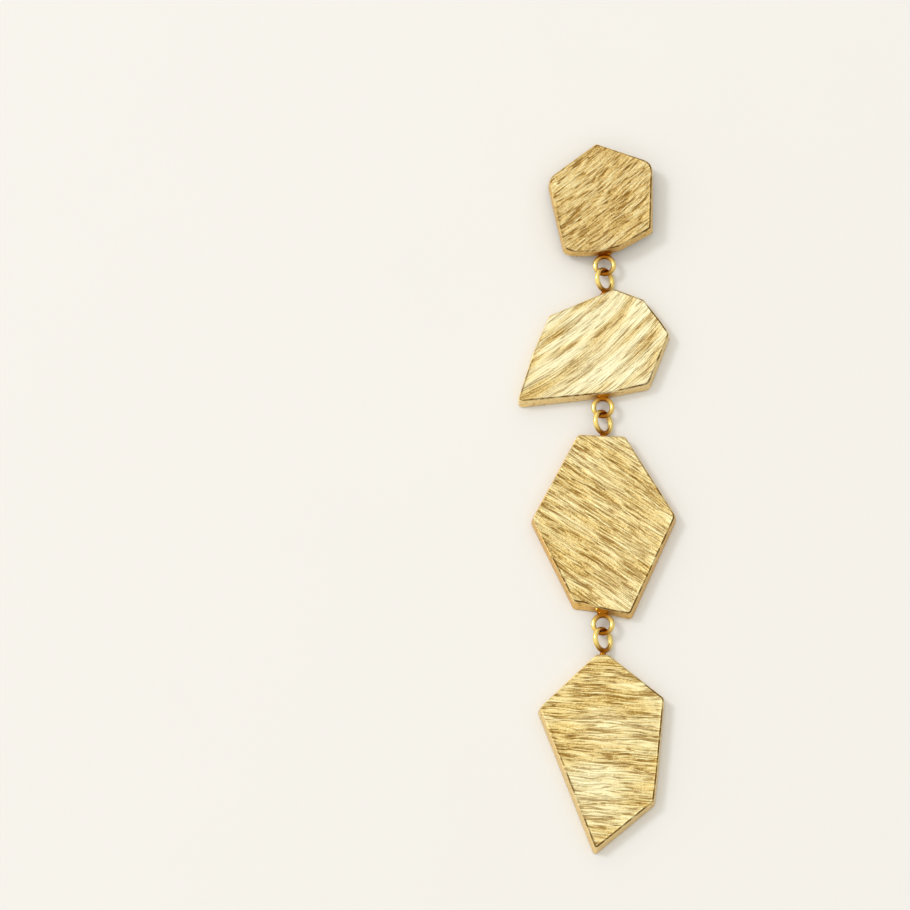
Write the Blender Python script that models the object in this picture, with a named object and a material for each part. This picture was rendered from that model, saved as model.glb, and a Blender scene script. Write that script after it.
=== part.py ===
"""A long drop earring: four flat brushed plates joined by soldered ring links, lying face up.

Metres, +Z up. The chain runs along Y with the top plate at +Y, the brushed faces look up, and the
backs of the three lower plates lie on the plane Z = 0. The top plate stands on the closed clip at
its back. The origin is the middle of the underside.
"""

import math
from collections import namedtuple

import bmesh
import bpy
from mathutils import Vector

MM = 0.001

# Plates
PLATE_THICKNESS = 1.7 * MM
TOP_WIDTH = 13.8 * MM
TOP_HEIGHT = 15.25 * MM
SECOND_WIDTH = 19.75 * MM
SECOND_HEIGHT = 15.9 * MM
THIRD_WIDTH = 18.75 * MM
THIRD_HEIGHT = 24.6 * MM
BOTTOM_WIDTH = 16.2 * MM
BOTTOM_HEIGHT = 26.15 * MM
WALL_LEAN = 0.4 * MM  # the tables' leans are shares of this
CORNER_ROUND = 1.0 * MM  # the tables' corner radii are shares of this
FRONT_RIM = 0.13 * MM
BACK_RIM = 0.07 * MM
CORNER_STEPS = 4

# Ring links
WIRE_RADIUS = 0.27 * MM
FRONT_RING_RADIUS = 1.26 * MM  # of the wire's middle line, as is the next
TURNED_RING_RADIUS = 1.48 * MM
TURNED_RING_ROLL = math.radians(46)
RING_CLEARANCE = 0.08 * MM  # between two linked rings, along the chain
SOLDER_NECK = 0.2 * MM  # between a ring and its plate; the plates' necks are shares of this
SOLDER_RADIUS = 0.34 * MM  # within the plates' front faces
SOLDER_OVERLAP = 0.3 * MM  # how far the solder runs into the wall and the wire
SURFACE_CLEARANCE = 0.015 * MM  # under the turned rings
RING_SIDES = 16
WIRE_SIDES = 6
SOLDER_SIDES = 10

# Ear clip at the top plate's back
CLIP_THICKNESS = 0.42 * MM
CLIP_LENGTH = 8.6 * MM  # from the hinge axis to the round end
CLIP_ROOT_WIDTH = 2.2 * MM
CLIP_PAD_WIDTH = 4.2 * MM
KNUCKLE_RADIUS = 0.37 * MM
PIN_RADIUS = 0.2 * MM
CLIP_CLEARANCE = 0.1 * MM
LUG_WALL = 0.13 * MM  # round the pin hole
LUG_WIDTH = 0.8 * MM
LUG_SINK = 0.2 * MM
HINGE_ACROSS = 0.52  # shares of the top plate's width and height
HINGE_ALONG = 0.22
ROUND_SIDES = 16
CLIP_END_STEPS = 10

PIN_HOLE_RADIUS = PIN_RADIUS + CLIP_CLEARANCE
LUG_RADIUS = PIN_HOLE_RADIUS + LUG_WALL
HINGE_HEIGHT = LUG_RADIUS + SURFACE_CLEARANCE
TOP_PLATE_LIFT = HINGE_HEIGHT + max(KNUCKLE_RADIUS, LUG_RADIUS) + CLIP_CLEARANCE
RING_HEIGHT = TURNED_RING_RADIUS * math.sin(TURNED_RING_ROLL) + WIRE_RADIUS + SURFACE_CLEARANCE

GOLD_FACE = (0.80, 0.56, 0.22, 1.0)
GOLD_PALE = (0.88, 0.66, 0.31, 1.0)
GOLD_WIRE = (0.84, 0.58, 0.20, 1.0)

# A corner's place is in shares of its plate's width and height, from the lower left of its box.
# Its lean says how far the front face's corner lies from the back's, in shares of WALL_LEAN.
Corner = namedtuple("Corner", "name across along lean_across lean_along round")

TOP_CORNERS = (
    Corner("lower_left", 0.138, 0.018, 0.3, 0.4, 1.0),
    Corner("bottom_left", 0.250, 0.000, 0.0, 0.1, 2.0),
    Corner("bottom_middle", 0.480, 0.004, 0.0, 0.2, 4.0),
    Corner("bottom_right", 0.680, 0.052, 0.0, 0.1, 4.0),
    Corner("lower_right", 0.995, 0.215, -0.8, 0.3, 0.4),
    Corner("upper_right", 1.001, 0.834, -0.2, -0.2, 1.8),
    Corner("top", 0.455, 1.006, 0.0, -0.2, 0.4),
    Corner("upper_left", -0.018, 0.676, 0.4, 0.1, 1.6),
)
SECOND_CORNERS = (
    Corner("lower_left", -0.010, -0.010, 0.0, 0.9, 0.6),
    Corner("bottom_middle", 0.600, 0.080, 0.0, 0.3, 5.0),
    Corner("lower_right", 0.864, 0.148, -0.5, 0.6, 0.9),
    Corner("right", 1.003, 0.606, -0.4, 0.0, 0.9),
    Corner("right_shoulder", 0.938, 0.725, -0.2, -0.1, 2.0),
    Corner("upper_right", 0.828, 0.910, -0.1, -0.2, 0.8),
    Corner("top", 0.632, 1.004, 0.0, -0.2, 0.7),
    Corner("upper_left", 0.200, 0.768, 0.2, -0.2, 0.7),
    Corner("left_middle", 0.098, 0.460, 0.2, 0.0, 5.0),
)
THIRD_CORNERS = (
    Corner("lower_left", 0.284, 0.050, 0.0, 1.5, 0.5),
    Corner("bottom_dip", 0.357, 0.045, 0.0, 1.4, 0.6),
    Corner("bottom_step", 0.430, 0.038, 0.0, 0.4, 1.0),
    Corner("bottom_middle", 0.550, 0.018, 0.0, 0.3, 3.0),
    Corner("lower_right", 0.686, -0.005, -0.5, 0.7, 0.5),
    Corner("right", 1.008, 0.545, -0.5, 0.0, 0.9),
    Corner("upper_right", 0.653, 0.990, -0.1, -0.2, 0.5),
    Corner("upper_left", 0.318, 1.000, 0.2, -0.2, 0.5),
    Corner("left", -0.012, 0.528, 0.6, 0.1, 0.9),
)
BOTTOM_CORNERS = (
    Corner("tip", 0.428, -0.008, 0.3, 1.2, 0.4),
    Corner("lower_right", 0.918, 0.245, -0.5, 0.1, 0.5),
    Corner("right_middle", 0.948, 0.400, -0.4, 0.0, 5.0),
    Corner("right", 1.004, 0.772, -0.2, 0.0, 0.6),
    Corner("top_right", 0.545, 1.000, 0.0, -0.2, 0.3),
    Corner("top_left", 0.455, 0.997, 0.0, -0.2, 0.3),
    Corner("left", -0.024, 0.722, 0.9, 0.2, 0.8),
)

# A ring's place across its plate is a share of the width, and its neck a share of SOLDER_NECK.
Ring = namedtuple("Ring", "across neck")
Plate = namedtuple("Plate", "name width height corners upper_ring lower_ring lift")

PLATES = (
    Plate(
        "top_plate",
        TOP_WIDTH,
        TOP_HEIGHT,
        TOP_CORNERS,
        upper_ring=None,
        lower_ring=Ring(0.531, 0.1),
        lift=TOP_PLATE_LIFT,
    ),
    Plate(
        "second_plate",
        SECOND_WIDTH,
        SECOND_HEIGHT,
        SECOND_CORNERS,
        upper_ring=Ring(0.572, 0.1),
        lower_ring=Ring(0.554, 0.9),
        lift=0.0,
    ),
    Plate(
        "third_plate",
        THIRD_WIDTH,
        THIRD_HEIGHT,
        THIRD_CORNERS,
        upper_ring=Ring(0.499, 0.4),
        lower_ring=Ring(0.487, 1.9),
        lift=0.0,
    ),
    Plate(
        "bottom_plate",
        BOTTOM_WIDTH,
        BOTTOM_HEIGHT,
        BOTTOM_CORNERS,
        upper_ring=Ring(0.516, 1.1),
        lower_ring=None,
        lift=0.0,
    ),
)


def clear_scene():
    for obj in list(bpy.data.objects):
        bpy.data.objects.remove(obj, do_unlink=True)


def new_collection(name):
    collection = bpy.data.collections.new(name)
    bpy.context.scene.collection.children.link(collection)
    return collection


def gold(name, colour, roughness):
    material = bpy.data.materials.new(name)
    material.use_nodes = True
    shader = material.node_tree.nodes["Principled BSDF"]
    shader.inputs["Base Color"].default_value = colour
    shader.inputs["Metallic"].default_value = 1.0
    shader.inputs["Roughness"].default_value = roughness
    return material


def move_to(obj, collection):
    for owner in list(obj.users_collection):
        owner.objects.unlink(obj)
    collection.objects.link(obj)


def as_helper(obj, helpers):
    """A shape that is only joined to another one, or cut from it."""
    move_to(obj, helpers)
    obj.hide_render = True
    obj.display_type = "WIRE"
    return obj


def corner_arc(before, corner, after, radius):
    """The points of one rounded corner, kept within the halves of its two edges."""
    to_before = before - corner
    to_after = after - corner
    half_angle = to_before.angle(to_after) / 2
    reach = min(radius / math.tan(half_angle), 0.48 * to_before.length, 0.48 * to_after.length)
    start = corner + to_before.normalized() * reach
    end = corner + to_after.normalized() * reach
    points = []
    for step in range(CORNER_STEPS + 1):
        share = step / CORNER_STEPS
        points.append(
            start * (1 - share) ** 2 + corner * 2 * share * (1 - share) + end * share**2
        )
    return points


def rounded_outline(plate, rise):
    """The table's outline with its corners rounded, at a share of the way from back to front."""
    corners = [
        Vector(
            (
                plate.width * corner.across + WALL_LEAN * corner.lean_across * rise,
                plate.height * corner.along + WALL_LEAN * corner.lean_along * rise,
            )
        )
        for corner in plate.corners
    ]
    points = []
    for index, corner in enumerate(corners):
        before = corners[index - 1]
        after = corners[(index + 1) % len(corners)]
        points += corner_arc(before, corner, after, CORNER_ROUND * plate.corners[index].round)
    return points


def outline(plate, rise):
    """The rounded outline, anticlockwise, stretched so that the back fills the plate's box."""
    back = rounded_outline(plate, 0.0)
    low = Vector((min(point.x for point in back), min(point.y for point in back)))
    high = Vector((max(point.x for point in back), max(point.y for point in back)))
    stretch = Vector((plate.width / (high.x - low.x), plate.height / (high.y - low.y)))
    return [(point - low) * stretch for point in rounded_outline(plate, rise)]


def drawn_in(points, distance):
    """An outline moved inwards by a distance, each point along the bisector of its edges."""
    moved = []
    for index, point in enumerate(points):
        ahead = (points[(index + 1) % len(points)] - point).normalized()
        behind = (point - points[index - 1]).normalized()
        inward = Vector((-ahead.y - behind.y, ahead.x + behind.x)).normalized()
        shrink = max(inward.dot(Vector((-ahead.y, ahead.x))), 0.5)
        moved.append(point + inward * distance / shrink)
    return moved


def edge_along(plate, across, height, upper):
    """How far up the plate its top or bottom wall lies, at a place across it and a height."""
    points = outline(plate, height / PLATE_THICKNESS)
    found = []
    for index, point in enumerate(points):
        previous = points[index - 1]
        if (previous.x - across) * (point.x - across) <= 0 and previous.x != point.x:
            share = (across - previous.x) / (point.x - previous.x)
            found.append(previous.y + (point.y - previous.y) * share)
    return max(found) if upper else min(found)


def plate_mesh(plate):
    """The plate as a loft from its back outline to its front one, with both rims eased."""
    levels = (
        (0.0, BACK_RIM),
        (BACK_RIM, 0.0),
        (PLATE_THICKNESS - FRONT_RIM, 0.0),
        (PLATE_THICKNESS, FRONT_RIM),
    )
    mesh = bmesh.new()
    rings = []
    for height, inset in levels:
        points = drawn_in(outline(plate, height / PLATE_THICKNESS), inset)
        rings.append([mesh.verts.new((point.x, point.y, height)) for point in points])
    for lower, upper in zip(rings, rings[1:]):
        for index in range(len(lower)):
            mesh.faces.new((lower[index - 1], lower[index], upper[index], upper[index - 1]))
    mesh.faces.new(reversed(rings[0]))
    mesh.faces.new(rings[-1])
    data = bpy.data.meshes.new(plate.name)
    mesh.to_mesh(data)
    mesh.free()
    return data


def ring_seat(plate, upper):
    """Where a ring meets its plate and where its middle is, from the plate's lower left corner."""
    ring = plate.upper_ring if upper else plate.lower_ring
    radius = TURNED_RING_RADIUS if upper else FRONT_RING_RADIUS
    across = plate.width * ring.across
    wall = edge_along(plate, across, RING_HEIGHT - plate.lift, upper)
    reach = SOLDER_NECK * ring.neck + WIRE_RADIUS + radius
    middle = wall + reach if upper else wall - reach
    return Vector((across, wall)), Vector((across, middle))


def lay_out():
    """Each plate's lower left corner: the linked rings hang each plate from the one above it."""
    linked = FRONT_RING_RADIUS + TURNED_RING_RADIUS - 2 * WIRE_RADIUS - RING_CLEARANCE
    corner = Vector((0.0, 0.0))
    places = []
    for plate, below in zip(PLATES, PLATES[1:] + (None,)):
        places.append(corner)
        if below is None:
            break
        front_ring = corner + ring_seat(plate, upper=False)[1]
        turned_ring = front_ring - Vector((0, linked))
        corner = turned_ring - ring_seat(below, upper=True)[1]
    low = Vector((min(p.x for p in places), min(p.y for p in places)))
    high = Vector(
        (
            max(p.x + plate.width for p, plate in zip(places, PLATES)),
            max(p.y + plate.height for p, plate in zip(places, PLATES)),
        )
    )
    return [place - (low + high) / 2 for place in places]


def join(obj, tool, operation):
    modifier = obj.modifiers.new(f"{operation.lower()}_{tool.name}", "BOOLEAN")
    modifier.operation = operation
    modifier.solver = "EXACT"
    modifier.object = tool


def solder_ring(obj, plate, place, upper, helpers):
    """Joins a ring and its bead of solder to the plate's top or bottom wall."""
    ring = plate.upper_ring if upper else plate.lower_ring
    seat, middle = ring_seat(plate, upper)
    away = 1 if upper else -1
    neck = SOLDER_NECK * ring.neck
    bead_middle = place + seat + Vector((0, away * neck / 2))
    bpy.ops.mesh.primitive_uv_sphere_add(
        segments=SOLDER_SIDES,
        ring_count=SOLDER_SIDES // 2,
        radius=SOLDER_RADIUS,
        location=(bead_middle.x, bead_middle.y, RING_HEIGHT),
    )
    bead = as_helper(bpy.context.object, helpers)
    bead.name = f"{plate.name}_{'upper' if upper else 'lower'}_solder"
    bead.scale.y = (neck / 2 + SOLDER_OVERLAP) / SOLDER_RADIUS
    join(obj, bead, "UNION")
    bpy.ops.mesh.primitive_torus_add(
        major_segments=RING_SIDES,
        minor_segments=WIRE_SIDES,
        major_radius=TURNED_RING_RADIUS if upper else FRONT_RING_RADIUS,
        minor_radius=WIRE_RADIUS,
        location=(place.x + middle.x, place.y + middle.y, RING_HEIGHT),
        rotation=(0, TURNED_RING_ROLL if upper else 0, 0),
    )
    loop = as_helper(bpy.context.object, helpers)
    loop.name = f"{plate.name}_{'upper' if upper else 'lower'}_ring"
    join(obj, loop, "UNION")


def rod_along_x(name, radius, length, middle, helpers):
    bpy.ops.mesh.primitive_cylinder_add(
        vertices=ROUND_SIDES,
        radius=radius,
        depth=length,
        location=middle,
        rotation=(0, math.pi / 2, 0),
    )
    rod = as_helper(bpy.context.object, helpers)
    rod.name = name
    return rod


def hinge_middle(place):
    top = PLATES[0]
    return Vector(
        (
            place.x + top.width * HINGE_ACROSS,
            place.y + top.height * HINGE_ALONG,
            HINGE_HEIGHT,
        )
    )


def add_hinge_lugs(obj, place, helpers):
    """Two drilled lugs soldered to the top plate's back, which hold the clip's pin."""
    hinge = hinge_middle(place)
    root = TOP_PLATE_LIFT + LUG_SINK - HINGE_HEIGHT
    offset = CLIP_ROOT_WIDTH / 2 + CLIP_CLEARANCE + LUG_WIDTH / 2
    for side, name in ((-1, "left"), (1, "right")):
        middle = hinge + Vector((side * offset, 0, 0))
        join(obj, rod_along_x(f"{name}_lug_end", LUG_RADIUS, LUG_WIDTH, middle, helpers), "UNION")
        bpy.ops.mesh.primitive_cube_add(size=1, location=middle + Vector((0, 0, root / 2)))
        block = as_helper(bpy.context.object, helpers)
        block.name = f"{name}_lug_root"
        block.scale = (LUG_WIDTH, 2 * LUG_RADIUS, root)
        join(obj, block, "UNION")
    hole_length = 2 * (offset + LUG_WIDTH)
    hole = rod_along_x("pin_hole", PIN_HOLE_RADIUS, hole_length, hinge, helpers)
    join(obj, hole, "DIFFERENCE")


def clip_leaf(hinge, helpers):
    """The clip's flat leaf, narrow at the hinge and round at its free end, as a filled outline."""
    pad = CLIP_PAD_WIDTH / 2
    root = CLIP_ROOT_WIDTH / 2
    neck = CLIP_LENGTH - 2 * pad
    points = [(-root, 0.0), (root, 0.0), (pad, neck)]
    for step in range(CLIP_END_STEPS + 1):
        turn = math.pi * step / CLIP_END_STEPS
        points.append((pad * math.cos(turn), CLIP_LENGTH - pad + pad * math.sin(turn)))
    points.append((-pad, neck))
    curve = bpy.data.curves.new("clip_leaf_outline", "CURVE")
    curve.dimensions = "2D"
    curve.fill_mode = "BOTH"
    curve.extrude = CLIP_THICKNESS / 2
    spline = curve.splines.new("POLY")
    spline.points.add(len(points) - 1)
    for point, (across, along) in zip(spline.points, points):
        point.co = (across, along, 0, 1)
    spline.use_cyclic_u = True
    guide = bpy.data.objects.new("clip_leaf_outline", curve)
    helpers.objects.link(guide)
    guide.location = (hinge.x, hinge.y, CLIP_THICKNESS / 2)
    bpy.context.view_layer.update()
    evaluated = guide.evaluated_get(bpy.context.evaluated_depsgraph_get())
    data = bpy.data.meshes.new_from_object(evaluated)
    leaf = bpy.data.objects.new("clip_leaf", data)
    leaf.matrix_world = guide.matrix_world
    bpy.data.objects.remove(guide, do_unlink=True)
    mesh = bmesh.new()
    mesh.from_mesh(data)
    bmesh.ops.remove_doubles(mesh, verts=mesh.verts, dist=0.001 * MM)
    bmesh.ops.recalc_face_normals(mesh, faces=mesh.faces)
    mesh.to_mesh(data)
    mesh.free()
    helpers.objects.link(leaf)
    return as_helper(leaf, helpers)


def build_plate(plate, place, parts, helpers):
    obj = bpy.data.objects.new(plate.name, plate_mesh(plate))
    obj.location = (place.x, place.y, plate.lift)
    parts.objects.link(obj)
    if plate.upper_ring is not None:
        solder_ring(obj, plate, place, True, helpers)
    if plate.lower_ring is not None:
        solder_ring(obj, plate, place, False, helpers)
    return obj


def build_clip(place, parts, helpers):
    hinge = hinge_middle(place)
    pin_length = CLIP_ROOT_WIDTH + 2 * (CLIP_CLEARANCE + LUG_WIDTH)
    knuckle = rod_along_x("clip_knuckle", KNUCKLE_RADIUS, CLIP_ROOT_WIDTH, hinge, helpers)
    clip = bpy.data.objects.new("ear_clip", knuckle.data.copy())
    clip.matrix_world = knuckle.matrix_basis
    parts.objects.link(clip)
    bpy.data.objects.remove(knuckle, do_unlink=True)
    join(clip, rod_along_x("clip_pin", PIN_RADIUS, pin_length, hinge, helpers), "UNION")
    join(clip, clip_leaf(hinge, helpers), "UNION")
    return clip


def finish(obj, material):
    obj.data.materials.append(material)
    obj.data.shade_smooth()
    obj.data.set_sharp_from_angle(angle=math.radians(35))


def main():
    clear_scene()
    parts = new_collection("chandelier_earring")
    helpers = new_collection("joined_shapes_and_cutters")
    places = lay_out()
    plates = {}
    for plate, place in zip(PLATES, places):
        plates[plate.name] = build_plate(plate, place, parts, helpers)
    add_hinge_lugs(plates["top_plate"], places[0], helpers)
    clip = build_clip(places[0], parts, helpers)
    finish(plates["top_plate"], gold("gold_top_plate", GOLD_FACE, 0.38))
    finish(plates["second_plate"], gold("gold_second_plate", GOLD_PALE, 0.34))
    finish(plates["third_plate"], gold("gold_third_plate", GOLD_FACE, 0.34))
    finish(plates["bottom_plate"], gold("gold_bottom_plate", GOLD_PALE, 0.34))
    finish(clip, gold("gold_ear_clip", GOLD_WIRE, 0.25))


main()
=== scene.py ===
"""Looks of a long drop earring: brushed gold plates on soldered ring links, on a pale floor.

Metres, +Z up, in the frame's own place: the chain along Y with the top plate at +Y, faces up.
"""

import math

import bmesh
import bpy
import numpy as np
from mathutils import Euler, Matrix, Vector


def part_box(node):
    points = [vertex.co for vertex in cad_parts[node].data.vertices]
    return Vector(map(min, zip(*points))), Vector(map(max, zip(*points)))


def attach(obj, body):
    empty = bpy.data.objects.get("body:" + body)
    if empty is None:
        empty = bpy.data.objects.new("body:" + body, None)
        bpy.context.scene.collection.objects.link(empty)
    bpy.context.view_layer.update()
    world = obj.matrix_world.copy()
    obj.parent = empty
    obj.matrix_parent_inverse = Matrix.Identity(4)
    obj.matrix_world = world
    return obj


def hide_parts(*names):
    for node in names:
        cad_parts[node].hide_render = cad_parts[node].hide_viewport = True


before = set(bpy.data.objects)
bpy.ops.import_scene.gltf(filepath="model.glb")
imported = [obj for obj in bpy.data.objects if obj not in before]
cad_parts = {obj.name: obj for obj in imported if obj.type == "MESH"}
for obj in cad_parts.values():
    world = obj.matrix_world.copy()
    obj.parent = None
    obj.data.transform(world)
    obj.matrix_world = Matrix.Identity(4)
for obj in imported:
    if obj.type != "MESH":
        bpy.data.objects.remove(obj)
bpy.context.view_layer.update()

bl_info = {
    "name": "Brushed Gold Drop Earring",
    "version": (1, 0, 0),
    "blender": (4, 5, 0),
    "location": "View3D > Sidebar > Earring",
    "description": "Builds the plates, ring links, clip and stage of a brushed gold drop earring",
    "category": "Add Mesh",
}

MM = 0.001
FULL_TURN = 2 * math.pi
BODY = "root"
CHAIN = ("top_plate", "second_plate", "third_plate", "bottom_plate")

# Sizes of the solids, which the pieces here follow
FRONT_RIM = 0.13 * MM
BACK_RIM = 0.07 * MM
PLATE_THICKNESS = 1.7 * MM
TURNED_RING_ROLL = math.radians(46)
PIN_RADIUS = 0.2 * MM
KNUCKLE_RADIUS = 0.37 * MM
PIN_HOLE_RADIUS = 0.3 * MM
LUG_RADIUS = 0.43 * MM
LUG_WIDTH = 0.8 * MM
CLIP_ROOT_WIDTH = 2.2 * MM
CLIP_PAD_WIDTH = 4.2 * MM
CLIP_CLEARANCE = 0.1 * MM

# How close a solid's points lie at one level, how many of its fullest levels may be its front, and
# how close a mesh's points are welded
LEVEL_TOLERANCE = 0.002 * MM
FULLEST_LEVELS = 8
WELD_DISTANCE = 0.001 * MM

# Each plate's strokes: their direction in degrees and bow, how furrowed, wandering and rough they
# are, their shares of the settings' length, width, depth and swell, the tint of the gold, painted
# shade that dims each plate as a whole by how much light it reflects, its paleness, a painted
# highlight, the pale patch of painted highlight by its place as shares of the plate's box, and the
# wall's colour and pits
PLATE_STROKES = {
    "top_plate": dict(
        angle=39, bow=0.05, seed=3.0, furrows=0.35, wander=0.5,
        length=0.6, width=0.8, depth=0.85, swell=0.35, rough=1.0,
        tone=(0.84, 0.8, 0.76), pale=0.0,
        patch=(0.55, 0.12), patch_reach=4.0 * MM, patch_pale=0.35,
        wall=(0.84, 0.56, 0.19), pitting=0.43,
    ),
    "second_plate": dict(
        angle=41, bow=0.27, seed=11.0, furrows=0.6, wander=0.7,
        length=0.85, width=0.5, depth=0.55, swell=0.5, rough=0.8,
        tone=(0.965, 0.965, 0.955), pale=0.85,
        patch=(0.62, 0.24), patch_reach=10.5 * MM, patch_pale=1.0,
        wall=(0.92, 0.70, 0.33), pitting=0.38,
    ),
    "third_plate": dict(
        angle=-34, bow=0.0, seed=23.0, furrows=0.85, wander=0.75,
        length=0.8, width=0.68, depth=1.05, swell=0.4, rough=0.9,
        tone=(0.955, 0.955, 0.93), pale=0.25,
        patch=(0.6, 0.12), patch_reach=6.0 * MM, patch_pale=0.6,
        wall=(0.82, 0.53, 0.17), pitting=0.38,
    ),
    "bottom_plate": dict(
        angle=-4, bow=0.0, seed=37.0, furrows=1.0, wander=1.0,
        length=0.9, width=0.8, depth=1.08, swell=0.3, rough=0.7,
        tone=(0.99, 1.0, 0.97), pale=0.35,
        patch=(0.45, 0.3), patch_reach=7.0 * MM, patch_pale=0.8,
        wall=(0.88, 0.66, 0.30), pitting=0.35,
    ),
}

# Layers of noise in the strokes: waves for each stroke length and for each stroke width, a shift
# that keeps the layers apart, and detail
LAYERS = {
    "drift": (0.36, 0.11, 0.0, 1.0),
    "shake": (1.1, 0.4, 1.0, 1.0),
    "fibres": (0.7, 1.9, 5.7, 1.0),
    "threads": (1.3, 4.2, 3.1, 1.0),
    "creases": (0.45, 1.3, 7.3, 1.0),
    "crease breaks": (0.8, 0.7, 2.1, 2.0),
    "furrows": (0.38, 0.95, 17.9, 1.5),
    "furrow breaks": (0.6, 0.4, 27.3, 1.0),
    "broad": (0.35, 0.22, 9.4, 1.0),
    "hairs": (4.0, 6.5, 13.0, 1.0),
}

# How far the layers bend the strokes, in stroke widths, and what they add to the height
DRIFT = 2.4
SHAKE = 0.7
FIBRE_SHARE = 0.65
CUT_DEPTH = 0.45

# Widths of the thin cuts, in the noise's own value, and where noise is spread over 0 to 1
CREASE_WIDTH = 0.08
FURROW_WIDTH = 0.055
CREASE_BREAKS = (0.4, 0.56)
FURROW_BREAKS = (0.36, 0.52)
NOISE_SPAN = (0.3, 0.7)
FINE_SPAN = (0.25, 0.75)

# Where a plate counts as front and as back, by how far its surface faces up
FRONT_FACING = (0.35, 0.9)
BACK_FACING = (-0.5, -0.95)

# Heights of the strokes and of the pits that stay at the solid's own surface
FACE_LEVEL = 0.75
PIT_LEVEL = 0.9

# Size of a wall's pits along X, Y and Z, and how soft their rims are
WALL_PITS = (0.45 * MM, 0.45 * MM, 0.2 * MM)
PIT_SLOPE = 0.1

# How far the strokes stop short of a face's edge, and the line of painted shade along it, a dark
# reflection painted on the rim: its width, its breaks and its darker side, away from the light,
# with the ranges that they are read over and the shares that they give
EDGE_FADE = 0.3 * MM
EDGE_LINE = 0.17 * MM
EDGE_BREAKS = 1.2 * MM
LINE_BREAKS = ((0.35, 0.6), (0.35, 1.0))
EDGE_SHADED_SIDE = (0.6, -0.8, 0.0)
LINE_SIDES = ((-0.8, 0.0), (0.3, 1.0))

# What the finish adds: the fine grain's height, its share of the tone, the tone of the swells, paler
# where they rise as a painted highlight, and of the pitted walls, darker in the pits as painted
# shade, as a factor and a start, and the fading of the pale patches of painted highlight
GRAIN_HEIGHT = 0.45
GRAIN_TONE = 0.4
SWELL_HIGHLIGHT = (0.16, -0.06)
WALL_PIT_SHADE = (0.6, 0.3)
PATCH_FADE = (1.0, 0.2)
PATCH_SWELL = (0.7, 0.3)

# Painted light and shade by the relief: where the face's gold above the valleys' painted shade and
# the ridges' paler gold, a painted highlight, set in, and what the cuts' painted shade and the
# pale patches' painted highlight take
FACE_TONES = (0.0, 0.44)
RIDGE_TONES = (0.4, 0.85)
CUT_SHADE = 0.9
PALE_HIGHLIGHT = (0.6, 0.35)

# Roughness of the metals, from dull to polished, and their bumps' strength and distance
PLATE_ROUGHNESS = (0.46, 0.3)
PLATE_BUMP = (0.8, 0.06 * MM)
WIRE_ROUGHNESS = (0.26, 0.16)
WIRE_BUMP = (0.2, 0.02 * MM)
WIRE_TARNISH = (0.87, 0.85, 0.8)
WEAR_SIZE = 0.4 * MM
WEAR_SLOWER = 0.3

# Where the painted shade at the solder seats and where two rings link is centred past a ring's
# wire, and how far it reaches. Its core is above 1, so that it is full close to the joint.
SEAT_DEPTH = 0.1 * MM
SEAT_REACH = 1.25 * MM
LINK_REACH = 0.95 * MM
JOINT_CORE = 1.6

# A ring's wire where it bears on the next ring, worn thinner than the rest, by its place as a share
# of the ring's radius
WORN_RADIUS = 0.284 * MM
WORN_SPAN = (0.55, 0.97)

# The solder: how far it starts inside the wall, lies below the wire's middle and runs under the
# wire, as a share of the wire's radius, and how it narrows
SOLDER_SUNK = 0.3 * MM
SOLDER_DROP = 0.14 * MM
SOLDER_UNDER = 0.8
SOLDER_NECK = 0.6
TURNED_SOLDER_SHARE = 0.5  # of the width that the flat rings have
FILLET_FACTOR = 0.5
FILLET_STEPS = 4

# Counts of points and steps round the shapes
OUTLINE_COUNT = 480
RING_STEPS = 64
WIRE_SIDES = 20
SOLDER_STEPS = 12
SOLDER_SIDES = 28
ROD_SIDES = 32
PAD_STEPS = 32
LUG_STEPS = 24
HOLE_SIDES = 32

# How deep the lugs sink into the plate, how far the leaf stays off the floor, and from which
# angle an edge is sharp
LUG_SINK = 0.2 * MM
LEAF_LIFT = 0.01 * MM
SHARP_ANGLE = math.radians(40)

# The camera, with one of the photograph's pixels at its aim
PHOTO_SIDE = 910
PIXEL = 0.13 * MM
SENSOR = 36.0  # millimetres
CAMERA_AIM = Vector((-18.46 * MM, 5.6 * MM, 0.0))
CAMERA_DISTANCE = 0.8
CAMERA_ELEVATION = math.radians(72)

# The light and the floor
KEY_DIRECTION = Vector((-0.88, 0.42, 1.0))
KEY_DISTANCE = 1.6
KEY_SIDE = 0.42
KEY_COLOUR = (1.0, 1.0, 1.06)
FLOOR_SIDE = 6.0
FLOOR_DARK = (0.986, 0.986, 0.986)
FLOOR_MOTTLE = 45.0
FLOOR_ROUGHNESS = 0.9
FLOOR_SHINE = 0.1

# The sky: its colour, the colour that the camera sees, how it changes from right to left, and the
# shade low down at the right and front
SKY_COLOUR = (1.0, 0.975, 0.905, 1.0)
SEEN_COLOUR = (0.90, 0.885, 0.85, 1.0)
SKY_SIDES = ((0.75, -0.75), (0.92, 1.05))
LOW_SKY = (0.66, 0.26)
RIGHT_FRONT = (-0.5, 0.5)
SHADE = -0.6


# The settings that a user would change


def length_setting(name, description, default):
    return bpy.props.FloatProperty(
        name=name, description=description, default=default, unit="LENGTH", precision=5
    )


def colour_setting(name, description, default):
    return bpy.props.FloatVectorProperty(
        name=name, description=description, default=default, subtype="COLOR"
    )


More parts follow.
